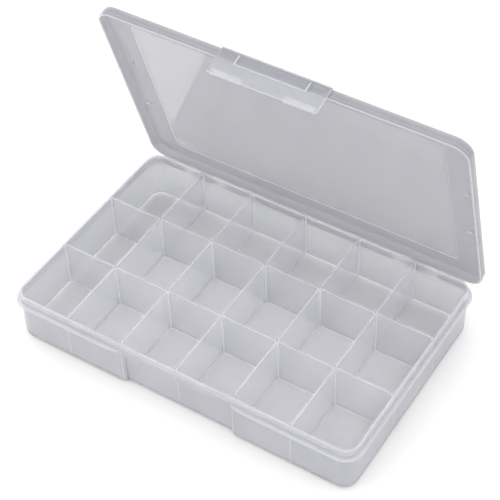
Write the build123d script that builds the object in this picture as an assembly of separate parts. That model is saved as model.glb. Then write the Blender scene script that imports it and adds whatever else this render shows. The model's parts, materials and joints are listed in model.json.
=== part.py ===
from build123d import *
import os

# Parts sorting tray with a hinged lid. Millimetres, +Z up, +Y towards the hinge, +X to the right.
# The origin is the centre of the face that the tray stands on.

# Compartments
COLUMNS = 6
COLUMN_PITCH = 44.0
ROW_PITCH = 55.5
DIVIDER = 1.2

# Tray shell
WALL = 1.5
HALF_LENGTH = 132.6
HALF_WIDTH = 84.5
CORNER_RADIUS = 10.0
RIM_TOP = 40.2
FLOOR_TOP = 2.5
FLOOR_BOTTOM = 1.0
INNER_HALF_LENGTH = HALF_LENGTH - WALL
INNER_HALF_WIDTH = HALF_WIDTH - WALL

# Stacking foot under the floor, and the ridge on the lid that the next tray's foot stands inside
FOOT_HALF_LENGTH = 114.0
FOOT_HALF_WIDTH = 64.0
FOOT_CORNER_RADIUS = 3.0
RIDGE_HALF_LENGTH = 116.0
RIDGE_HALF_WIDTH = 71.9
RAIL_WIDTH = 1.5
RAIL_HEIGHT = 1.0

# Flange all round the outside, which the closed lid sits on
FLANGE_REACH = 3.2
FLANGE_TOP = 34.2
FLANGE_BOTTOM = 32.0

# Latch recess and catch lip at the middle of the front wall
RECESS_HALF_LENGTH = 42.0
RECESS_DEPTH = 2.8
BAY_HALF_LENGTH = COLUMN_PITCH - DIVIDER / 2
LIP_BOTTOM = 29.8
LIP_TOP = LIP_BOTTOM + WALL
LIP_STEP = 0.4

# Hinge: a moulded pin between two cheeks on the tray, and a snap-on clip on the lid
HINGE_Y = 87.3
HINGE_Z = 31.3
HINGE_X = 88.0
PIN_RADIUS = 1.2
CHEEK_RADIUS = 1.9
CHEEK_THICKNESS = 3.0
CLIP_BORE_RADIUS = 1.25
CLIP_RADIUS = 2.35
CLIP_LENGTH = 12.0
CLIP_MOUTH = 1.9
CHEEK_GAP = 13.2

# Lid, described closed and then turned to the angle at which it stands open
LID_ANGLE = 72.8
LID_HALF_LENGTH = 137.0
LID_FRONT = -86.7
LID_REAR = 86.4
LID_CORNER_RADIUS = 12.5
PANEL_BOTTOM = 41.4
PANEL_TOP = 42.9
SKIRT_BOTTOM = 34.5

# Latch tab, which flexes outwards about its top edge
TAB_HALF_LENGTH = 40.5
TAB_THICKNESS = 1.2
TAB_FACE = LID_FRONT - 0.3
TAB_TOP = 40.9
TAB_BOTTOM = 21.4
TAB_CORNER_RADIUS = 1.6
ROOT_TOP = 42.5
FLEX_GAP = 0.3
RIB_INNER = 15.3
RIB_OUTER = 39.2
RIB_FACE = -85.3
RIB_BOTTOM = 21.7
RIB_TOP = 25.9
THUMB_HALF_LENGTH = 26.5
THUMB_DEPTH = 0.4
THUMB_BOTTOM = 33.0

SIDES = {"left": -1, "right": 1}
ENDS = {"front": -1, "rear": 1}


def block(x_span, y_span, z_span):
    """Straight block between two opposite corners."""
    lows = [min(span) for span in (x_span, y_span, z_span)]
    highs = [max(span) for span in (x_span, y_span, z_span)]
    size = [high - low for low, high in zip(lows, highs)]
    middle = [(high + low) / 2 for low, high in zip(lows, highs)]
    return Pos(*middle) * Box(*size)


def rod(radius, x_span):
    """Round bar along X on the hinge axis."""
    length = x_span[1] - x_span[0]
    middle = (x_span[0] + x_span[1]) / 2
    return Pos(middle, HINGE_Y, HINGE_Z) * Rot(0, 90, 0) * Cylinder(radius, length)


def quarter_ring(centre, radius, thickness, z_span, side, end):
    """One rounded corner of a wall: a quarter of a tube standing on the XY plane."""
    height = z_span[1] - z_span[0]
    place = Pos(centre[0], centre[1], z_span[0])
    align = (Align.CENTER, Align.CENTER, Align.MIN)
    tube = Cylinder(radius, height, align=align) - Cylinder(radius - thickness, height, align=align)
    reach = radius + 1
    quadrant = block((0, side * reach), (0, end * reach), (0, height))
    return place * (tube & quadrant)


def wall_frame(name, x_half, y_front, y_rear, radius, thickness, z_span):
    """Left and right walls and the four corners of a rounded rectangular wall."""
    parts = {}
    for side_name, side in SIDES.items():
        span = (side * (x_half - thickness), side * x_half)
        parts[f"{name}_{side_name}"] = block(span, (y_front + radius, y_rear - radius), z_span)
        for end_name, end in ENDS.items():
            y_edge = y_front if end < 0 else y_rear
            centre = (side * (x_half - radius), y_edge - end * radius)
            corner = quarter_ring(centre, radius, thickness, z_span, side, end)
            parts[f"{name}_corner_{end_name}_{side_name}"] = corner
    return parts


def tray_floor():
    outline = RectangleRounded(2 * HALF_LENGTH, 2 * HALF_WIDTH, CORNER_RADIUS)
    plate = Pos(0, 0, FLOOR_BOTTOM) * extrude(outline, FLOOR_TOP - FLOOR_BOTTOM)
    recess = block(
        (-RECESS_HALF_LENGTH, RECESS_HALF_LENGTH),
        (-HALF_WIDTH, -HALF_WIDTH + RECESS_DEPTH),
        (FLOOR_BOTTOM, FLOOR_TOP),
    )
    return plate - recess


def stacking_foot():
    outline = RectangleRounded(2 * FOOT_HALF_LENGTH, 2 * FOOT_HALF_WIDTH, FOOT_CORNER_RADIUS)
    return extrude(outline, FLOOR_BOTTOM)


def rails(name, x_half, y_half, z_span):
    """Four rails that make a low rectangular ring."""
    parts = {}
    for end_name, end in ENDS.items():
        span = (end * (y_half - RAIL_WIDTH), end * y_half)
        parts[f"{name}_{end_name}"] = block((-x_half, x_half), span, z_span)
    inner = y_half - RAIL_WIDTH
    for side_name, side in SIDES.items():
        span = (side * (x_half - RAIL_WIDTH), side * x_half)
        parts[f"{name}_{side_name}"] = block(span, (-inner, inner), z_span)
    return parts


def tray_walls():
    height = (FLOOR_TOP, RIM_TOP)
    parts = wall_frame("wall", HALF_LENGTH, -HALF_WIDTH, HALF_WIDTH, CORNER_RADIUS, WALL, height)
    straight = HALF_LENGTH - CORNER_RADIUS
    front = (-HALF_WIDTH, -INNER_HALF_WIDTH)
    parts["wall_rear"] = block((-straight, straight), (INNER_HALF_WIDTH, HALF_WIDTH), height)
    for side_name, side in SIDES.items():
        span = (side * BAY_HALF_LENGTH, side * straight)
        parts[f"wall_front_{side_name}"] = block(span, front, height)
    bay = (-BAY_HALF_LENGTH, BAY_HALF_LENGTH)
    parts["wall_front_middle"] = block(bay, front, (LIP_TOP, RIM_TOP))
    return parts


def latch_recess():
    """Set-back wall behind the latch, with the lip that the latch hooks under."""
    outer = -HALF_WIDTH + RECESS_DEPTH
    inner = outer + WALL
    bay = (-BAY_HALF_LENGTH, BAY_HALF_LENGTH)
    lip_face = -HALF_WIDTH - LIP_STEP
    parts = {
        "recess_wall": block(bay, (outer, inner), (FLOOR_TOP, LIP_BOTTOM)),
        "catch_lip": block(bay, (lip_face, inner), (LIP_BOTTOM, LIP_TOP)),
        "lip_band": block(bay, (lip_face, -HALF_WIDTH), (LIP_TOP, FLANGE_TOP)),
    }
    for side_name, side in SIDES.items():
        span = (side * RECESS_HALF_LENGTH, side * BAY_HALF_LENGTH)
        cheek = block(span, (-HALF_WIDTH, outer), (FLOOR_TOP, LIP_BOTTOM))
        parts[f"recess_end_{side_name}"] = cheek
    return parts


def cross_dividers():
    """Dividers from front to rear, numbered from the left."""
    parts = {}
    height = (FLOOR_TOP, RIM_TOP)
    for number in range(1, COLUMNS):
        x = (number - COLUMNS / 2) * COLUMN_PITCH
        span = (x - DIVIDER / 2, x + DIVIDER / 2)
        divider = block(span, (-INNER_HALF_WIDTH, INNER_HALF_WIDTH), height)
        if abs(x) < RECESS_HALF_LENGTH:
            divider -= block(span, (-HALF_WIDTH, -HALF_WIDTH + RECESS_DEPTH + WALL), (0, LIP_TOP))
        parts[f"cross_divider_{number}"] = divider
    return parts


def long_dividers():
    """Dividers from left to right, each in six lengths between the cross dividers."""
    parts = {}
    for end_name, end in ENDS.items():
        y = end * ROW_PITCH / 2
        lengths = []
        for column in range(COLUMNS):
            left = (column - COLUMNS / 2) * COLUMN_PITCH + DIVIDER / 2
            right = left + COLUMN_PITCH - DIVIDER
            left = max(left, -INNER_HALF_LENGTH)
            right = min(right, INNER_HALF_LENGTH)
            length = block((left, right), (y - DIVIDER / 2, y + DIVIDER / 2), (FLOOR_TOP, RIM_TOP))
            lengths.append(length)
        parts[f"long_divider_{end_name}"] = Compound(children=lengths)
    return parts


def flange():
    height = (FLANGE_BOTTOM, FLANGE_TOP)
    x_edge = HALF_LENGTH + FLANGE_REACH
    y_edge = HALF_WIDTH + FLANGE_REACH
    radius = CORNER_RADIUS + FLANGE_REACH
    parts = wall_frame("flange", x_edge, -y_edge, y_edge, radius, FLANGE_REACH, height)
    straight = HALF_LENGTH - CORNER_RADIUS
    bracket = CHEEK_GAP / 2 + CHEEK_THICKNESS
    rear = (HALF_WIDTH, y_edge)
    inner = HINGE_X - bracket
    parts["flange_rear_middle"] = block((-inner, inner), rear, height)
    for side_name, side in SIDES.items():
        front_span = (side * COLUMN_PITCH, side * straight)
        parts[f"flange_front_{side_name}"] = block(front_span, (-y_edge, -HALF_WIDTH), height)
        rear_span = (side * (HINGE_X + bracket), side * straight)
        parts[f"flange_rear_{side_name}"] = block(rear_span, rear, height)
    return parts


def hinge_bracket(side):
    """Two cheeks on the rear wall with the hinge pin between them, one moulding."""
    middle = side * HINGE_X
    bracket = rod(PIN_RADIUS, (middle - CHEEK_GAP / 2, middle + CHEEK_GAP / 2))
    for hand in (-1, 1):
        near = middle + hand * CHEEK_GAP / 2
        far = near + hand * CHEEK_THICKNESS
        span = (min(near, far), max(near, far))
        low = HINGE_Z - CHEEK_RADIUS
        high = HINGE_Z + CHEEK_RADIUS
        bracket += block(span, (HALF_WIDTH, HINGE_Y), (low, high))
        bracket += rod(CHEEK_RADIUS, span)
    return bracket


def lid_panel():
    outline = RectangleRounded(2 * LID_HALF_LENGTH, LID_REAR - LID_FRONT, LID_CORNER_RADIUS)
    middle = (LID_REAR + LID_FRONT) / 2
    return Pos(0, middle, PANEL_BOTTOM) * extrude(outline, PANEL_TOP - PANEL_BOTTOM)


def lid_skirts():
    height = (SKIRT_BOTTOM, PANEL_BOTTOM)
    radius = LID_CORNER_RADIUS
    parts = wall_frame("skirt", LID_HALF_LENGTH, LID_FRONT, LID_REAR, radius, WALL, height)
    straight = LID_HALF_LENGTH - radius
    span = (-straight, straight)
    parts["skirt_front"] = block(span, (LID_FRONT, LID_FRONT + WALL), height)
    parts["skirt_rear"] = block(span, (LID_REAR - WALL, LID_REAR), height)
    return parts


def hinge_clip(side):
    """Snap-on clip below the rear skirt, open downwards when the lid is closed."""
    middle = side * HINGE_X
    span = (middle - CLIP_LENGTH / 2, middle + CLIP_LENGTH / 2)
    clip = rod(CLIP_RADIUS, span)
    clip += block(span, (LID_REAR - WALL, LID_REAR), (HINGE_Z, SKIRT_BOTTOM))
    clip -= rod(CLIP_BORE_RADIUS, span)
    mouth = (HINGE_Y - CLIP_MOUTH / 2, HINGE_Y + CLIP_MOUTH / 2)
    return clip - block(span, mouth, (HINGE_Z - CLIP_RADIUS, HINGE_Z))


def latch():
    """Tab and its two catch ribs."""
    outer = TAB_FACE - TAB_THICKNESS
    width = (-TAB_HALF_LENGTH, TAB_HALF_LENGTH)
    tab = block(width, (outer, TAB_FACE), (TAB_BOTTOM, TAB_TOP))
    lower_corners = tab.edges().filter_by(Axis.Y).group_by(Axis.Z)[0]
    thumb = (-THUMB_HALF_LENGTH, THUMB_HALF_LENGTH)
    recess = block(thumb, (outer, outer + THUMB_DEPTH), (THUMB_BOTTOM, TAB_TOP - 1))
    parts = {"latch_tab": fillet(lower_corners, TAB_CORNER_RADIUS) - recess}
    for side_name, side in SIDES.items():
        span = (side * RIB_INNER, side * (RIB_OUTER - TAB_CORNER_RADIUS / 2))
        parts[f"catch_rib_{side_name}"] = block(span, (TAB_FACE, RIB_FACE), (RIB_BOTTOM, RIB_TOP))
    return parts


def latch_root():
    """Thick pad on the front skirt that the tab hangs from."""
    outer = TAB_FACE - TAB_THICKNESS
    width = (-TAB_HALF_LENGTH, TAB_HALF_LENGTH)
    return block(width, (outer, LID_FRONT), (TAB_TOP + FLEX_GAP, ROOT_TOP))


def tray():
    parts = {"tray_floor": tray_floor(), "stacking_foot": stacking_foot()}
    parts |= tray_walls() | latch_recess() | cross_dividers() | long_dividers() | flange()
    for side_name, side in SIDES.items():
        parts[f"hinge_bracket_{side_name}"] = hinge_bracket(side)
    return parts


def lid():
    parts = {"lid_panel": lid_panel(), "latch_root": latch_root()}
    ridge_top = PANEL_TOP + RAIL_HEIGHT
    parts |= rails("lid_ridge", RIDGE_HALF_LENGTH, RIDGE_HALF_WIDTH, (PANEL_TOP, ridge_top))
    parts |= lid_skirts() | latch()
    for side_name, side in SIDES.items():
        parts[f"hinge_clip_{side_name}"] = hinge_clip(side)
    return parts


def main():
    os.makedirs("parts", exist_ok=True)
    hinge_axis = Axis((0, HINGE_Y, HINGE_Z), (-1, 0, 0))
    parts = tray()
    for name, shape in lid().items():
        parts[name] = shape.rotate(hinge_axis, LID_ANGLE)
    for name, shape in parts.items():
        export_step(shape, f"parts/{name}.step")


main()
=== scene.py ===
import json
import math

import bmesh
import bpy
from mathutils import Matrix, Vector


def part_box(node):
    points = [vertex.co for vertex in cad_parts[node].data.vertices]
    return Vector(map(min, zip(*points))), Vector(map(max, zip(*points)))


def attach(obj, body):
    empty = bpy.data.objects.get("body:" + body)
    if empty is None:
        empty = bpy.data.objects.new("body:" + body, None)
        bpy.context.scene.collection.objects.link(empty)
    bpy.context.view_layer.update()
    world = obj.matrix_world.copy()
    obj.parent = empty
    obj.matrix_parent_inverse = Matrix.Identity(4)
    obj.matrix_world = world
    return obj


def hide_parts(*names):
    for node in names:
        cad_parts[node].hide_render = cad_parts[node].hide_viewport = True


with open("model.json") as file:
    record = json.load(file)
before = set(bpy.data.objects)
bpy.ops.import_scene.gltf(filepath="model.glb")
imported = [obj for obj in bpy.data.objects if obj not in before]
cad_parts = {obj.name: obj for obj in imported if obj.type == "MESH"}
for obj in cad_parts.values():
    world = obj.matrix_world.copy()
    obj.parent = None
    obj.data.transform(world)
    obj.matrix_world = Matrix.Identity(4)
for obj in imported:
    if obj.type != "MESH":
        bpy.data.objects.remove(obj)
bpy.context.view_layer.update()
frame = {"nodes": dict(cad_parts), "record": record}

MM = 0.001

# Steps in each rounded corner of an outline
CORNER_STEPS = 8

# Tray, in millimetres
WALL = 1.5
WALL_RADIUS = 10.0
FOOT_RADIUS = 3.0
FOOT_EDGE = 0.3
BASE_RADIUS = 2.8
RIM_RADIUS = 0.5
FLOOR_FILLET = 0.7
FLOOR_STEP = 0.3
FLOOR_STEP_WIDTH = 0.5
RECESS_HALF = 42.0
RECESS_ROUND = 4.4
BAY_HALF = 43.4
LIP_STEP = 0.4
LIP_EDGE = 0.2

# Flange: how far it reaches into the wall, and how it narrows in front of the latch recess
FLANGE_ROOT = 0.2
TAPER = 5.0
TAPER_END = 0.3

# Dividers: the fillets they grow from, and half of the painted highlight line on a wall where one meets
# it
JUNCTION_FILLET = 0.6
JUNCTION_BAND = 0.45
FILLET_ROWS = [0.0, JUNCTION_FILLET * 0.2, JUNCTION_FILLET * 0.5, JUNCTION_FILLET]
DIVIDER_ROWS = [8.0, 16.0, 24.0]
DIVIDER_DEPTH = 0.1
CROWN = 0.45

# Lid, described closed
LID_WALL = 1.5
LID_RADIUS = 12.5
LID_FRONT = -86.7
LID_REAR = 86.4
LID_EDGE_RADIUS = 2.2
LID_FILLET = 1.2
SKIRT_Z = 34.5
SKIRT_STEP = 0.3
SKIRT_BEAD = 2.4
SKIRT_ROUND = 0.5
PANEL_LOW = 41.4
PANEL_HIGH = 42.9
PANEL_STEP = 0.45
RIDGE_X = 116.0
RIDGE_Y = 71.9
RIDGE_RADIUS = 4.0
RIDGE_WIDTH = 1.5
RIDGE_HEIGHT = 1.0
RIDGE_FOOT = 0.2
RIDGE_EDGE = 0.3

# Latch, described closed
TAB_OUTER = -88.2
TAB_INNER = -87.0
TAB_HALF = 40.5
TAB_RADIUS = 1.6
TAB_LOW = 21.4
TAB_HIGH = 40.9
TAB_EDGE = 0.35
ROOT_GAP = 0.3
ROOT_HIGH = 42.5
GRIP_HALF = 26.5
GRIP_LOW = 33.0
GRIP_WIDTH = 0.9
RIB_SPAN = (15.3, 38.4)
RIB_Z = (21.7, 25.9)
RIB_FACE = -85.3

# Marks on the panel: middle and half width along Y, then reach from the skirt and height
MARKS = ((-26.3, 0.5), (-23.3, 0.5), (24.5, 1.2))
MARK_SPAN = (4.8, 8.8)
MARK_HEIGHT = 1.1

# Surface texture, as noise scales per metre
CLOUD_SCALE = 22.5
GRAIN_SCALE = 720.0

# Stage, in metres
STAGE_SIZE = 4.0
STAGE_DROP = 0.0003
STAGE_WHITE = 0.82
WORLD_STRENGTH = 1.4
LIGHT_WIDTH = 2.4
KEY_PLACE = (-0.9, -0.5, 1.5)
KEY_POWER = 6
TOP_PLACE = (0.3, 0.5, 1.8)
TOP_POWER = 4
CAMERA_LENS = 108.66
CAMERA_PLACE = (0.38963, -0.58467, 0.79655)
CAMERA_RIGHT = (0.8472, 0.5310, -0.0200)
CAMERA_UP = (-0.3679, 0.6133, 0.6989)
CAMERA_BACK = (0.3834, -0.5848, 0.7149)


def node_box(name):
    """Lowest and highest corner of a CAD node in millimetres."""
    low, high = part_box(name)
    return [value / MM for value in low], [value / MM for value in high]


FLOOR_LOW, FLOOR_HIGH = node_box("tray_floor")
WALL_LOW, WALL_HIGH = node_box("wall_rear")
FOOT_LOW, FOOT_HIGH = node_box("stacking_foot")
FLANGE_LOW, FLANGE_HIGH = node_box("flange_left")
LIP_LOW, LIP_HIGH = node_box("catch_lip")
RECESS_LOW, RECESS_HIGH = node_box("recess_wall")
HALF_X = FLOOR_HIGH[0]
HALF_Y = FLOOR_HIGH[1]
BASE_Z = FLOOR_LOW[2]
FLOOR_Z = FLOOR_HIGH[2]
RIM_Z = WALL_HIGH[2]
FLANGE_REACH = -FLANGE_LOW[0] - HALF_X
RECESS_DEPTH = RECESS_LOW[1] + HALF_Y

# The closed lid is turned about the hinge to where it stands
JOINTS = frame["record"]["behaviour"]["joints"]
LID_JOINT = next(joint for joint in JOINTS if joint["name"] == "lid_hinge")
HINGE = Vector(LID_JOINT["pos_m"])
LID_ANGLE = -math.radians(LID_JOINT["range_deg"][0])
OPEN = Matrix.Translation(HINGE) @ Matrix.Rotation(-LID_ANGLE, 4, "X") @ Matrix.Translation(-HINGE)
LID_HALF_X = node_box("skirt_right")[1][0]


# ---------------------------------------------------------------- materials

def shade(name, colour, other, roughness, alpha, bump=0.02, coat=0.0, scatter=1.0):
    """Moulded polypropylene: slight cloudiness in the colour, and a fine texture in the gloss."""
    material = bpy.data.materials.new(name)
    material.use_nodes = True
    tree = material.node_tree
    nodes = tree.nodes
    links = tree.links
    shader = nodes["Principled BSDF"]
    place = nodes.new("ShaderNodeTexCoord")
    cloud = nodes.new("ShaderNodeTexNoise")
    cloud.inputs["Scale"].default_value = CLOUD_SCALE
    cloud.inputs["Detail"].default_value = 3.0
    links.new(place.outputs["Object"], cloud.inputs["Vector"])
    ramp = nodes.new("ShaderNodeValToRGB")
    ramp.color_ramp.elements[0].position = 0.35
    ramp.color_ramp.elements[0].color = (*colour, 1)
    ramp.color_ramp.elements[1].position = 0.65
    ramp.color_ramp.elements[1].color = (*other, 1)
    links.new(cloud.outputs["Fac"], ramp.inputs["Fac"])
    links.new(ramp.outputs["Color"], shader.inputs["Base Color"])
    grain = nodes.new("ShaderNodeTexNoise")
    grain.inputs["Scale"].default_value = GRAIN_SCALE
    grain.inputs["Detail"].default_value = 2.0
    links.new(place.outputs["Object"], grain.inputs["Vector"])
    spread = nodes.new("ShaderNodeMapRange")
    spread.inputs["To Min"].default_value = roughness * 0.8
    spread.inputs["To Max"].default_value = roughness * 1.2
    links.new(grain.outputs["Fac"], spread.inputs["Value"])
    links.new(spread.outputs["Result"], shader.inputs["Roughness"])
    relief = nodes.new("ShaderNodeBump")
    relief.inputs["Strength"].default_value = bump
    relief.inputs["Distance"].default_value = 0.0002
    links.new(grain.outputs["Fac"], relief.inputs["Height"])
    links.new(relief.outputs["Normal"], shader.inputs["Normal"])
    shader.inputs["Alpha"].default_value = alpha
    shader.inputs["IOR"].default_value = 1.49
    shader.inputs["Subsurface Weight"].default_value = scatter
    shader.inputs["Subsurface Radius"].default_value = (1.0, 1.0, 1.0)
    shader.inputs["Subsurface Scale"].default_value = 0.006
    shader.inputs["Coat Weight"].default_value = coat
    shader.inputs["Coat Roughness"].default_value = 0.03
    shader.inputs["Coat IOR"].default_value = 1.9
    return material


TRAY = shade("tray_satin", (0.46, 0.46, 0.49), (0.43, 0.435, 0.46), 0.34, 0.50)
DIVIDER = shade("divider_satin", (0.66, 0.66, 0.70), (0.63, 0.635, 0.67), 0.34, 0.18)
# Painted light: lighter than the walls, standing in for the light that the shaded compartment floors
# lack.
TRAY_FLOOR = shade("tray_floor_satin", (0.73, 0.73, 0.77), (0.70, 0.70, 0.74), 0.34, 0.92)
# Painted highlight: a lighter, unscattered copy of the plastic on the divider fillets at the floor and
# the walls, drawn as bright fillet lines.
FILLET_HIGHLIGHT = shade("tray_fillet_painted_highlight", (0.84, 0.84, 0.88), (0.81, 0.81, 0.85), 0.30, 0.70, scatter=0.0)
# Painted highlight: a lighter copy of the plastic on the rim, lip band, flange, divider crowns and the
# lines where dividers meet the walls.
RIM_HIGHLIGHT = shade("tray_rim_painted_highlight", (0.56, 0.56, 0.60), (0.53, 0.53, 0.57), 0.30, 0.52)
HINGE_PART = shade("hinge_satin", (0.58, 0.58, 0.62), (0.55, 0.555, 0.59), 0.34, 0.26)
LID = shade("lid_satin", (0.31, 0.31, 0.34), (0.29, 0.295, 0.32), 0.32, 0.64)
LID_GLOSS = shade(
    "lid_gloss", (0.275, 0.275, 0.30), (0.265, 0.265, 0.29), 0.06, 0.66, bump=0.003, coat=1.0
)
# Painted highlight: a lighter copy of the lid plastic on the ridge, the skirt bead and lower edge, the
# panel step and the latch tab's edges.
LID_EDGE_HIGHLIGHT = shade("lid_edge_painted_highlight", (0.52, 0.52, 0.56), (0.50, 0.50, 0.54), 0.28, 0.66)
LID_OUTSIDE = shade("lid_outside", (0.29, 0.29, 0.315), (0.27, 0.275, 0.295), 0.30, 0.64)
TAB = shade("tab_satin", (0.43, 0.43, 0.48), (0.40, 0.405, 0.45), 0.30, 0.22)
# Painted highlight: a lighter, unscattered copy of the plastic on the catch ribs, grip lines and panel
# marks.
RIB_HIGHLIGHT = shade("rib_painted_highlight", (0.66, 0.66, 0.70), (0.63, 0.63, 0.67), 0.30, 0.70, scatter=0.0)


# ---------------------------------------------------------------- mesh helpers

def finish_mesh(name, mesh, body, materials, replaced):
    """Turn a finished mesh into a piece that rides on a body and stands for the replaced nodes."""
    mesh.normal_update()
    data = bpy.data.meshes.new(name)
    mesh.to_mesh(data)
    mesh.free()
    piece = bpy.data.objects.new(name, data)
    bpy.context.scene.collection.objects.link(piece)
    for material in materials:
        data.materials.append(material)
    for polygon in data.polygons:
        polygon.use_smooth = True
    data.set_sharp_from_angle(angle=math.radians(32))
    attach(piece, body)
    if replaced:
        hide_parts(*replaced)


def arc(count, start, end):
    """Angles of an arc, in radians, ends included."""
    return [math.radians(start + (end - start) * step / count) for step in range(count + 1)]


def front_samples(half):
    """Places along a front side, with a pair at each divider and more where the latch recess ends."""
    near = [RECESS_HALF + RECESS_ROUND * (1 - math.cos(angle)) for angle in arc(6, 0, 90)]
    near += [BAY_HALF - 0.05, BAY_HALF + 0.05, RECESS_HALF - 0.05]
    for crossing in (0.0, COLUMN_PITCH, 2 * COLUMN_PITCH):
        near += [crossing + JUNCTION_BAND, abs(crossing - JUNCTION_BAND)]
        near += [crossing + COLUMN_PITCH * part / 5 for part in (1, 2, 3, 4)]
    right = sorted({round(value, 3) for value in near if 0.01 < value < half - 0.5})
    return [-half] + [-value for value in reversed(right)] + [0.0] + right + [half]


COLUMN_PITCH = node_box("cross_divider_4")[0][0] - node_box("cross_divider_3")[0][0]
ROW_HALF = sum(corner[1] for corner in node_box("long_divider_rear")) / 2
STRAIGHT_X = HALF_X - WALL_RADIUS
STRAIGHT_Y = HALF_Y - WALL_RADIUS
FRONT = [value / STRAIGHT_X for value in front_samples(STRAIGHT_X)]
SIDE_PLACES = [0.0, ROW_HALF / 2, ROW_HALF - JUNCTION_BAND, ROW_HALF + JUNCTION_BAND]
SIDE_PLACES += [(ROW_HALF + STRAIGHT_Y) / 2]
SIDE_BOTH = sorted({sign * value for value in SIDE_PLACES for sign in (-1, 1)})
SIDE = [-1.0] + [value / STRAIGHT_Y for value in SIDE_BOTH] + [1.0]


def outline(half_x, y_front, y_rear, radius):
    """Rounded rectangle, anticlockwise from the left end of the front; the count is always the same."""
    points = [(value * (half_x - radius), y_front) for value in FRONT]

    def corner(x, y, start):
        for angle in arc(CORNER_STEPS, start, start + 90)[1:-1]:
            points.append((x + radius * math.cos(angle), y + radius * math.sin(angle)))

    inner_x = half_x - radius
    middle = (y_front + y_rear) / 2
    reach = (y_rear - y_front) / 2 - radius
    corner(inner_x, y_front + radius, -90)
    low = y_front + radius
    high = y_rear - radius
    points += [(half_x, middle + reach * part) for part in SIDE]
    corner(inner_x, high, 0)
    points += [(value * inner_x, y_rear) for value in reversed(FRONT)]
    corner(-inner_x, high, 90)
    points += [(-half_x, middle - reach * part) for part in SIDE]
    corner(-inner_x, low, 180)
    return points


def bridge(mesh, loops, close, material_of=None):
    """Quads between successive rows of points."""
    for level, (lower, upper) in enumerate(zip(loops, loops[1:])):
        count = len(lower)
        for index in range(count if close else count - 1):
            after = (index + 1) % count
            face = mesh.faces.new((lower[index], lower[after], upper[after], upper[index]))
            if material_of:
                face.material_index = material_of(level, index)


def add_loop(mesh, points, z, turn=None):
    """One row of vertices at height z, turned if asked."""
    made = []
    for x, y in points:
        place = Vector((x * MM, y * MM, z * MM))
        made.append(mesh.verts.new(turn @ place if turn else place))
    return made


# ---------------------------------------------------------------- tray shell

def recess_share(x):
    """How far the outside of the front wall is set back at x, as a share of the recess depth."""
    distance = abs(x)
    if distance <= RECESS_HALF:
        return 1.0
    if distance >= RECESS_HALF + RECESS_ROUND:
        return 0.0
    across = (RECESS_HALF + RECESS_ROUND - distance) / RECESS_ROUND
    return 1.0 - math.sqrt(1.0 - across * across)


def near_divider(x, y):
    """Whether a divider meets the wall at this place on the outline."""
    if abs(y) > HALF_Y - 0.1:
        return any(abs(x - COLUMN_PITCH * step) < JUNCTION_BAND + 0.05 for step in range(-2, 3))
    return abs(abs(y) - ROW_HALF) < JUNCTION_BAND + 0.05


def shell_outline(inset, recessed=0.0, inner=False, lip=0.0):
    """Outline of the tray's wall; its front is set back at the latch, or brought forward at the lip."""
    points = outline(HALF_X - inset, -HALF_Y + inset, HALF_Y - inset, WALL_RADIUS - inset)
    front = len(FRONT)
    moved = []
    for index, (x, y) in enumerate(points):
        if index < front and recessed:
            share = (1.0 if abs(x) <= BAY_HALF else 0.0) if inner else recess_share(x)
            y += recessed * share
        if index < front and lip and abs(x) < BAY_HALF:
            y -= lip
        moved.append((x, y))
    return moved


def foot_outline(inset):
    foot_x, foot_y = FOOT_HIGH[0], FOOT_HIGH[1]
    return outline(foot_x - inset, -foot_y + inset, foot_y - inset, FOOT_RADIUS - inset)


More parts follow.
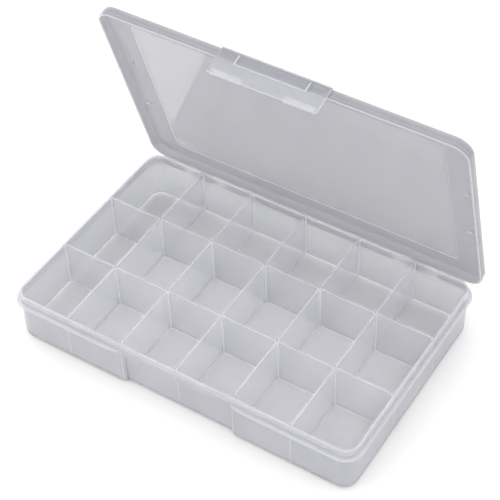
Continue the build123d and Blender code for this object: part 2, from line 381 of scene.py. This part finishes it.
def tray_shell():
    """Foot, outside of the walls, rim, inside of the walls and floor, in one closed skin."""
    mesh = bmesh.new()
    rows = [(foot_outline(FOOT_EDGE), 0.0, 0)]
    rows.append((foot_outline(0.0), FOOT_EDGE, 0))
    rows.append((foot_outline(0.0), BASE_Z, 0))
    for angle in arc(5, 0, 90):
        inset = BASE_RADIUS * (1 - math.sin(angle))
        z = BASE_Z + BASE_RADIUS * (1 - math.cos(angle))
        rows.append((shell_outline(inset, RECESS_DEPTH), z, 0))
    lip_low = LIP_LOW[2]
    flange_top = FLANGE_HIGH[2]
    rows.append((shell_outline(0, RECESS_DEPTH), lip_low - 0.1, 0))
    # Slot 1 is the painted rim highlight, on the lip band and the rim.
    rows.append((shell_outline(0, 0, lip=LIP_STEP - LIP_EDGE), lip_low, 1))
    rows.append((shell_outline(0, 0, lip=LIP_STEP), lip_low + 0.3, 1))
    rows.append((shell_outline(0, 0, lip=LIP_STEP), flange_top - LIP_EDGE, 0))
    rows.append((shell_outline(0), flange_top, 0))
    for angle in arc(6, 0, 180):
        inset = WALL / 2 - (WALL / 2) * math.cos(angle)
        z = RIM_Z - RIM_RADIUS * (1 - math.sin(angle))
        rows.append((shell_outline(inset), z, 1))
    step = LIP_HIGH[2]
    rows.append((shell_outline(WALL), step + 0.1, 0))
    rows.append((shell_outline(WALL, RECESS_DEPTH, inner=True), step, 0))
    for angle in arc(4, 0, 90):
        inset = WALL + FLOOR_FILLET * (1 - math.cos(angle))
        z = FLOOR_Z + FLOOR_FILLET * (1 - math.sin(angle))
        slot = 2 if z < FLOOR_Z + FLOOR_FILLET else 0
        rows.append((shell_outline(inset, RECESS_DEPTH, inner=True), z, slot))
    rows.append((foot_outline(-FLOOR_STEP_WIDTH), FLOOR_Z, 2))
    rows.append((foot_outline(0.0), FLOOR_Z - FLOOR_STEP, 2))
    loops = [add_loop(mesh, shape, z) for shape, z, _ in rows]
    at_divider = [near_divider(*point) for point in outline(HALF_X, -HALF_Y, HALF_Y, WALL_RADIUS)]

    # Wall faces where a divider meets the wall take the painted rim highlight, as a bright line.
    def face_material(level, index):
        usual = rows[level + 1][2]
        joint = at_divider[index] and at_divider[(index + 1) % len(at_divider)]
        return 1 if usual == 0 and joint and level > 3 else usual

    bridge(mesh, loops, True, face_material)
    bottom = mesh.faces.new(list(reversed(loops[0])))
    bottom.material_index = 2
    top = mesh.faces.new(loops[-1])
    top.material_index = 2
    names = ["tray_floor", "stacking_foot", "wall_rear", "wall_front_left", "wall_front_right"]
    names += ["wall_front_middle", "recess_wall", "recess_end_left", "recess_end_right"]
    names += ["catch_lip", "lip_band", "wall_left", "wall_right"]
    names += [f"wall_corner_{end}_{side}" for end in ("front", "rear") for side in ("left", "right")]
    finish_mesh("tray_shell", mesh, "tray", [TRAY, RIM_HIGHLIGHT, TRAY_FLOOR], names)


# ---------------------------------------------------------------- flange

def flange_profile():
    """Section of the flange, as reach from the wall and height."""
    low, high = FLANGE_LOW[2], FLANGE_HIGH[2]
    radius = (high - low) / 2 - 0.2
    points = [(-FLANGE_ROOT, high)]
    for middle, start in ((high - radius, 90), (low + radius, 0)):
        for angle in arc(4, start, start - 90):
            reach = FLANGE_REACH - radius + radius * math.cos(angle)
            points.append((reach, middle + radius * math.sin(angle)))
    points.append((-FLANGE_ROOT, low))
    return points


def flange_run(name, inside, start, replaced):
    """One length of flange: the part of the outline where inside(x, y) holds, with its ends closed."""
    mesh = bmesh.new()
    profile = flange_profile()
    whole = [
        outline(HALF_X + reach, -HALF_Y - reach, HALF_Y + reach, WALL_RADIUS + reach)
        for reach, _ in profile
    ]
    base = outline(HALF_X, -HALF_Y, HALF_Y, WALL_RADIUS)
    order = [(start + index) % len(base) for index in range(len(base))]
    picked = [index for index in order if inside(*base[index])]
    loops = []
    for index in picked:
        loop = []
        for (reach, z), shape in zip(profile, whole):
            x, y = shape[index]
            if base[index][1] < 1 - HALF_Y:
                share = min(1.0, max(0.0, (abs(x) - COLUMN_PITCH) / TAPER))
                y = base[index][1] + (y - base[index][1]) * (TAPER_END + (1 - TAPER_END) * share)
            loop.append(mesh.verts.new((x * MM, y * MM, z * MM)))
        loops.append(loop)
    bridge(mesh, loops, True)
    mesh.faces.new(list(reversed(loops[0])))
    mesh.faces.new(loops[-1])
    bmesh.ops.recalc_face_normals(mesh, faces=mesh.faces)
    # The whole flange takes the painted rim highlight.
    finish_mesh(name, mesh, "tray", [RIM_HIGHLIGHT], replaced)


def flange():
    """Left and right lengths, each round two corners, and the length between the hinge windows."""
    gap = node_box("flange_front_right")[0][0] - 0.1
    window_in = node_box("flange_rear_middle")[1][0] + 0.1
    window_out = node_box("flange_rear_right")[0][0] - 0.1
    count = len(FRONT)
    for side, sign in (("left", -1), ("right", 1)):
        names = [f"flange_{side}", f"flange_front_{side}", f"flange_rear_{side}"]
        names += [f"flange_corner_front_{side}", f"flange_corner_rear_{side}"]

        def inside(x, y, sign=sign):
            if x * sign <= 0:
                return False
            return x * sign > (gap if y < 0 else window_out)

        start = count // 2 if sign > 0 else count + 2 * (CORNER_STEPS - 1) + len(SIDE) + count // 2
        flange_run(f"flange_run_{side}", inside, start, names)

    def between_windows(x, y):
        return y > HALF_Y - 1 and abs(x) < window_in

    flange_run("flange_run_rear", between_windows, count, ["flange_rear_middle"])


# ---------------------------------------------------------------- dividers

def flare(distance):
    """Extra half thickness of a divider close to a surface that it grows out of."""
    if distance >= JUNCTION_FILLET:
        return 0.0
    rest = JUNCTION_FILLET - distance
    return JUNCTION_FILLET - math.sqrt(JUNCTION_FILLET ** 2 - rest ** 2)


def graded(length):
    """Distances along a length, close together near both ends."""
    near = FILLET_ROWS + [JUNCTION_FILLET + 0.3]
    return near + [length / 2] + [length - value for value in reversed(near)]


def divider_mesh(mesh, along, centre, start, end, half, notch=None):
    """Upright plate along X or Y with fillets at both ends and at the floor, and a rounded top.

    A notch is a place and a height: below that height, the plate starts at that place.
    """
    heights = [-FLOOR_STEP - DIVIDER_DEPTH] + [value - FLOOR_STEP for value in FILLET_ROWS]
    heights += [JUNCTION_FILLET] + DIVIDER_ROWS
    if notch:
        heights += [notch[1] - FLOOR_Z - 0.05, notch[1] - FLOOR_Z + 0.05]
    tall = RIM_Z - FLOOR_Z
    rounding = [
        (tall - CROWN + CROWN * math.sin(angle), half - CROWN * (1 - math.cos(angle)))
        for angle in arc(4, 0, 90)
    ]
    rows = [(height, None) for height in sorted(heights)] + rounding
    for side in (-1, 1):
        loops = []
        for height, width in rows:
            z = FLOOR_Z + height
            first = notch[0] if notch and z < notch[1] else start
            row = []
            for distance in graded(end - first):
                ends = flare(min(distance, end - first - distance))
                if width is None:
                    reach = half + flare(max(0.0, height + FLOOR_STEP)) + ends
                else:
                    reach = width + ends
                offset = centre + side * reach
                place = (first + distance, offset, z) if along == "x" else (offset, first + distance, z)
                row.append(mesh.verts.new([value * MM for value in place]))
            loops.append(row)
        levels = len(rows)
        last = len(loops[0]) - 2

        # Crown faces take the painted rim highlight, and faces at the fillets take the painted fillet
        # highlight.
        def face_material(level, index):
            if level >= levels - len(rounding):
                return 1
            fillet = len(FILLET_ROWS)
            return 2 if level <= fillet or index < fillet or index > last - fillet else 0

        bridge(mesh, loops, False, face_material)
        if side < 0:
            left = loops
    right = loops
    # The crest takes the painted rim highlight too.
    for index in range(len(left[-1]) - 1):
        crest = (left[-1][index], left[-1][index + 1], right[-1][index + 1], right[-1][index])
        mesh.faces.new(crest).material_index = 1
    for end_place in (0, -1):
        edges = [(low[end_place], high[end_place]) for low, high in zip(left, right)]
        for (first_left, first_right), (next_left, next_right) in zip(edges, edges[1:]):
            mesh.faces.new((first_left, next_left, next_right, first_right))
    for index in range(len(left[0]) - 1):
        mesh.faces.new((left[0][index], left[0][index + 1], right[0][index + 1], right[0][index]))


def dividers():
    """Five dividers from front to rear, and two from left to right in six lengths each."""
    recess_inner = RECESS_HIGH[1]
    for number in range(1, 6):
        name = f"cross_divider_{number}"
        low, high = node_box(name)
        centre = (low[0] + high[0]) / 2
        half = (high[0] - low[0]) / 2
        notch = (recess_inner, LIP_HIGH[2]) if abs(centre) < RECESS_HALF else None
        mesh = bmesh.new()
        divider_mesh(mesh, "y", centre, low[1], high[1], half, notch)
        bmesh.ops.recalc_face_normals(mesh, faces=mesh.faces)
        finish_mesh(f"divider_{number}", mesh, "tray", [DIVIDER, RIM_HIGHLIGHT, FILLET_HIGHLIGHT], [name])
    crosses = [node_box(f"cross_divider_{number}") for number in range(1, 6)]
    for end in ("front", "rear"):
        name = f"long_divider_{end}"
        low, high = node_box(name)
        centre = (low[1] + high[1]) / 2
        half = (high[1] - low[1]) / 2
        starts = [low[0]] + [box[1][0] for box in crosses]
        ends = [box[0][0] for box in crosses] + [high[0]]
        mesh = bmesh.new()
        for start, stop in zip(starts, ends):
            divider_mesh(mesh, "x", centre, start, stop, half)
        bmesh.ops.recalc_face_normals(mesh, faces=mesh.faces)
        finish_mesh(f"row_divider_{end}", mesh, "tray", [DIVIDER, RIM_HIGHLIGHT, FILLET_HIGHLIGHT], [name])


# ---------------------------------------------------------------- lid

def lid_outline(inset):
    return outline(LID_HALF_X - inset, LID_FRONT + inset, LID_REAR - inset, LID_RADIUS - inset)


def ridge_outline(inset):
    return outline(RIDGE_X - inset, -RIDGE_Y + inset, RIDGE_Y - inset, RIDGE_RADIUS - inset)


def lid_shell():
    """Outside of the panel with its ridge, skirt, and inside of the panel, in one closed skin."""
    mesh = bmesh.new()
    top = PANEL_HIGH + RIDGE_HEIGHT
    rows = [(ridge_outline(RIDGE_WIDTH + RIDGE_FOOT), PANEL_HIGH, 0)]
    rows.append((ridge_outline(RIDGE_WIDTH), PANEL_HIGH + RIDGE_FOOT, 0))
    rows.append((ridge_outline(RIDGE_WIDTH), top - RIDGE_FOOT, 1))
    rows.append((ridge_outline(RIDGE_WIDTH - RIDGE_EDGE), top, 1))
    rows.append((ridge_outline(RIDGE_EDGE), top, 1))
    rows.append((ridge_outline(0.0), top - RIDGE_FOOT, 1))
    rows.append((ridge_outline(0.0), PANEL_HIGH + RIDGE_FOOT, 0))
    rows.append((ridge_outline(-RIDGE_FOOT), PANEL_HIGH, 0))
    for angle in arc(5, 0, 90):
        inset = SKIRT_STEP + LID_EDGE_RADIUS * (1 - math.sin(angle))
        z = PANEL_HIGH - LID_EDGE_RADIUS * (1 - math.cos(angle))
        rows.append((lid_outline(inset), z, 3))
    rows.append((lid_outline(SKIRT_STEP), SKIRT_Z + SKIRT_BEAD + 0.3, 3))
    rows.append((lid_outline(0.0), SKIRT_Z + SKIRT_BEAD, 1))
    for angle in arc(6, 0, 180):
        inset = LID_WALL / 2 * (1 - math.cos(angle))
        z = SKIRT_Z + SKIRT_ROUND * (1 - math.sin(angle))
        rows.append((lid_outline(inset), z, 1 if angle else 3))
    for angle in arc(4, 0, 90):
        inset = LID_WALL + LID_FILLET * (1 - math.cos(angle))
        z = PANEL_LOW - LID_FILLET * (1 - math.sin(angle))
        rows.append((lid_outline(inset), z, 0))
    rows.append((ridge_outline(-0.4), PANEL_LOW, 0))
    rows.append((ridge_outline(-0.15), PANEL_LOW + 0.1, 1))
    rows.append((ridge_outline(0.3), PANEL_LOW + PANEL_STEP, 1))
    # Slot 1 is the painted edge highlight, on the ridge, the skirt bead and lower edge, and the panel
    # step.
    loops = [add_loop(mesh, shape, z, OPEN) for shape, z, _ in rows]
    bridge(mesh, loops, True, lambda level, index: rows[level + 1][2])
    mesh.faces.new(list(reversed(loops[0])))
    inside = mesh.faces.new(loops[-1])
    inside.material_index = 2
    bmesh.ops.recalc_face_normals(mesh, faces=mesh.faces)
    names = ["lid_panel", "skirt_front", "skirt_rear", "skirt_left", "skirt_right"]
    names += [f"lid_ridge_{side}" for side in ("front", "rear", "left", "right")]
    names += [f"skirt_corner_{end}_{side}" for end in ("front", "rear") for side in ("left", "right")]
    materials = [LID, LID_EDGE_HIGHLIGHT, LID_GLOSS, LID_OUTSIDE]
    finish_mesh("lid_shell", mesh, "lid", materials, names)


def soft_block(mesh, x_span, y_span, z_span, bevel):
    """Block with rounded edges on the lid or latch, described closed and turned open."""
    corners = [
        Vector((x, y, z)) * MM
        for x in x_span
        for y in y_span
        for z in z_span
    ]
    verts = [mesh.verts.new(OPEN @ corner) for corner in corners]
    quads = ((0, 1, 3, 2), (4, 6, 7, 5), (0, 4, 5, 1), (2, 3, 7, 6), (0, 2, 6, 4), (1, 5, 7, 3))
    faces = [mesh.faces.new([verts[index] for index in quad]) for quad in quads]
    edges = list(dict.fromkeys(edge for face in faces for edge in face.edges))
    bmesh.ops.bevel(mesh, geom=edges, offset=bevel * MM, segments=3, profile=0.5, affect="EDGES")


# ---------------------------------------------------------------- latch

def tab_outline(inset, radius):
    """Outline of the tab in X and Z, with rounded lower corners."""
    low = TAB_LOW + inset
    high = TAB_HIGH - inset
    half = TAB_HALF - inset
    points = [(-half, high)]
    for middle, start in ((radius - half, 180), (half - radius, 270)):
        for angle in arc(6, start, start + 90):
            x = middle + radius * math.cos(angle)
            points.append((x, low + radius + radius * math.sin(angle)))
    points.append((half, high))
    return points


def latch_tab():
    """Plate of the latch, with painted highlights on the edges at its sides and foot."""
    mesh = bmesh.new()
    layers = ((TAB_EDGE, TAB_INNER), (0.0, TAB_INNER - TAB_EDGE))
    layers += ((0.0, TAB_OUTER + TAB_EDGE), (TAB_EDGE, TAB_OUTER))
    loops = []
    for inset, y in layers:
        points = tab_outline(inset, TAB_RADIUS - inset)
        loops.append([mesh.verts.new(OPEN @ (Vector((x, y, z)) * MM)) for x, z in points])
    upper = len(loops[0]) - 1
    bridge(mesh, loops, True, lambda level, index: 0 if index == upper else 1)
    mesh.faces.new(loops[0])
    mesh.faces.new(list(reversed(loops[-1])))
    bmesh.ops.recalc_face_normals(mesh, faces=mesh.faces)
    finish_mesh("latch_plate", mesh, "latch", [TAB, LID_EDGE_HIGHLIGHT], ["latch_tab"])


def grip_lines():
    """Two upright lines and a cross line raised on the outside of the tab."""
    mesh = bmesh.new()
    z_span = (GRIP_LOW, TAB_HIGH - 0.6)
    for sign in (-1, 1):
        x_span = sorted((sign * GRIP_HALF, sign * (GRIP_HALF - GRIP_WIDTH)))
        soft_block(mesh, x_span, (TAB_OUTER - 0.25, TAB_OUTER + 0.2), z_span, 0.15)
    x_span = (-GRIP_HALF, GRIP_HALF)
    z_span = (GRIP_LOW - 0.4, GRIP_LOW + 0.1)
    soft_block(mesh, x_span, (TAB_OUTER - 0.12, TAB_OUTER + 0.2), z_span, 0.1)
    finish_mesh("latch_grip_lines", mesh, "latch", [RIB_HIGHLIGHT], [])


def catch_ribs():
    """Ribs on the inside of the tab that hook under the tray's lip."""
    for side, sign in (("left", -1), ("right", 1)):
        mesh = bmesh.new()
        x_span = sorted((sign * RIB_SPAN[0], sign * RIB_SPAN[1]))
        soft_block(mesh, x_span, (TAB_INNER - 0.1, RIB_FACE), RIB_Z, 0.4)
        name = f"catch_rib_{side}"
        finish_mesh(f"latch_{name}", mesh, "latch", [RIB_HIGHLIGHT], [name])


def latch_root():
    """Bar on the lid's front edge that the tab hangs from."""
    mesh = bmesh.new()
    z_span = (TAB_HIGH + ROOT_GAP, ROOT_HIGH)
    soft_block(mesh, (-TAB_HALF, TAB_HALF), (TAB_OUTER, LID_FRONT + 0.2), z_span, 0.3)
    finish_mesh("latch_root_bar", mesh, "lid", [LID], ["latch_root"])


def panel_marks():
    """Small moulded ribs and stops on the inside of the panel, near its ends."""
    mesh = bmesh.new()
    inner = LID_HALF_X - LID_WALL
    z_span = (PANEL_LOW - MARK_HEIGHT, PANEL_LOW + 0.2)
    for sign in (-1, 1):
        x_span = sorted(sign * (inner - reach) for reach in MARK_SPAN)
        for middle, half in MARKS:
            soft_block(mesh, x_span, (middle - half, middle + half), z_span, 0.2)
    finish_mesh("panel_marks", mesh, "lid", [RIB_HIGHLIGHT], [])


# ---------------------------------------------------------------- stage

def area_light(name, place, power):
    """Soft square light aimed at the origin."""
    light = bpy.data.lights.new(name, "AREA")
    light.shape = "SQUARE"
    light.size = LIGHT_WIDTH
    light.energy = power
    lamp = bpy.data.objects.new(name, light)
    bpy.context.scene.collection.objects.link(lamp)
    lamp.location = place
    lamp.rotation_euler = (-Vector(place)).to_track_quat("-Z", "Y").to_euler()


def stage_and_light():
    mesh = bmesh.new()
    bmesh.ops.create_grid(mesh, x_segments=4, y_segments=4, size=STAGE_SIZE)
    data = bpy.data.meshes.new("floor")
    mesh.to_mesh(data)
    mesh.free()
    floor = bpy.data.objects.new("floor", data)
    floor.location.z = -STAGE_DROP
    bpy.context.scene.collection.objects.link(floor)
    material = bpy.data.materials.new("floor_white")
    material.use_nodes = True
    shader = material.node_tree.nodes["Principled BSDF"]
    shader.inputs["Base Color"].default_value = (STAGE_WHITE, STAGE_WHITE, STAGE_WHITE, 1)
    shader.inputs["Roughness"].default_value = 0.9
    data.materials.append(material)
    world = bpy.data.worlds.new("studio")
    bpy.context.scene.world = world
    world.use_nodes = True
    background = world.node_tree.nodes["Background"]
    background.inputs["Color"].default_value = (1, 1, 1, 1)
    background.inputs["Strength"].default_value = WORLD_STRENGTH
    area_light("key", KEY_PLACE, KEY_POWER)
    area_light("top", TOP_PLACE, TOP_POWER)


def camera():
    data = bpy.data.cameras.new("camera")
    data.sensor_width = 36.0
    data.lens = CAMERA_LENS
    data.clip_start = 0.01
    data.clip_end = 50.0
    view = bpy.data.objects.new("camera", data)
    bpy.context.scene.collection.objects.link(view)
    rotation = Matrix((CAMERA_RIGHT, CAMERA_UP, CAMERA_BACK)).transposed().to_4x4()
    view.matrix_world = Matrix.Translation(Vector(CAMERA_PLACE)) @ rotation
    bpy.context.scene.camera = view


def main():
    bpy.context.scene.view_settings.view_transform = "Standard"
    bpy.context.scene.cycles.transparent_max_bounces = 32
    tray_shell()
    flange()
    dividers()
    lid_shell()
    latch_tab()
    grip_lines()
    catch_ribs()
    latch_root()
    panel_marks()
    for name in ("hinge_bracket_left", "hinge_bracket_right", "hinge_clip_left", "hinge_clip_right"):
        materials = frame["nodes"][name].data.materials
        materials.clear()
        materials.append(HINGE_PART)
    camera()
    stage_and_light()


main()
